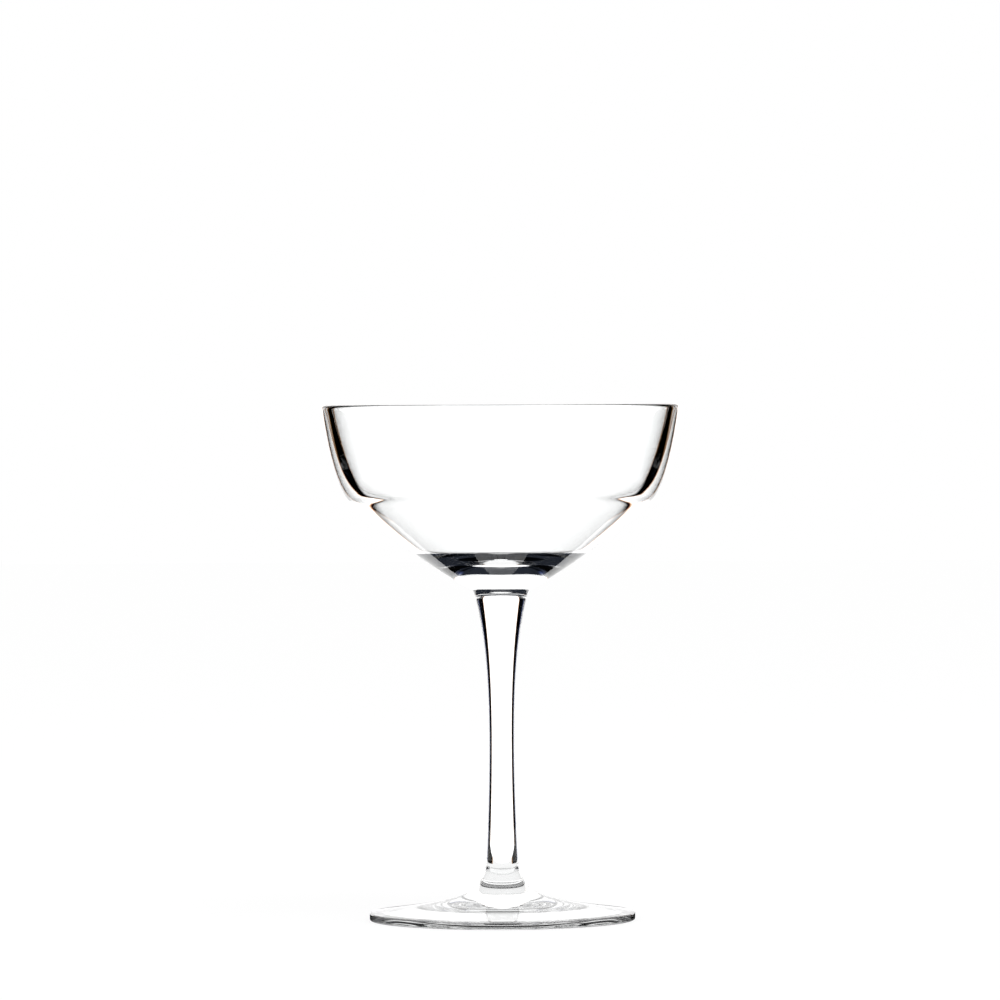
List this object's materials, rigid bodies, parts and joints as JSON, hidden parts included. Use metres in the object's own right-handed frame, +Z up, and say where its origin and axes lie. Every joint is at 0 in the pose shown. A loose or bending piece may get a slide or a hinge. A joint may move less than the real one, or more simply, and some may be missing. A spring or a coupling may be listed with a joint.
{
  "type": "coupe glass",
  "caption": "Clear stemmed coupe glass with a wide shallow bowl, a thick floor, a slim waisted stem and a round foot.",
  "frame": {"origin": "centre of the ring under the foot, on the surface that the glass stands on", "axes": "+Z up along the axis of turning, from the foot to the rim; X and Y level, and alike because the glass is round"},
  "size_m": [0.095, 0.095, 0.137],
  "materials": {
    "foot_glass": "clear, fire-polished",
    "stem_glass": "clear, fire-polished",
    "bowl_glass": "clear, fire-polished"
  },
  "bodies": {
    "root": {"foot": "foot_glass", "stem": "stem_glass", "bowl": "bowl_glass"}
  },
  "joints": []
}
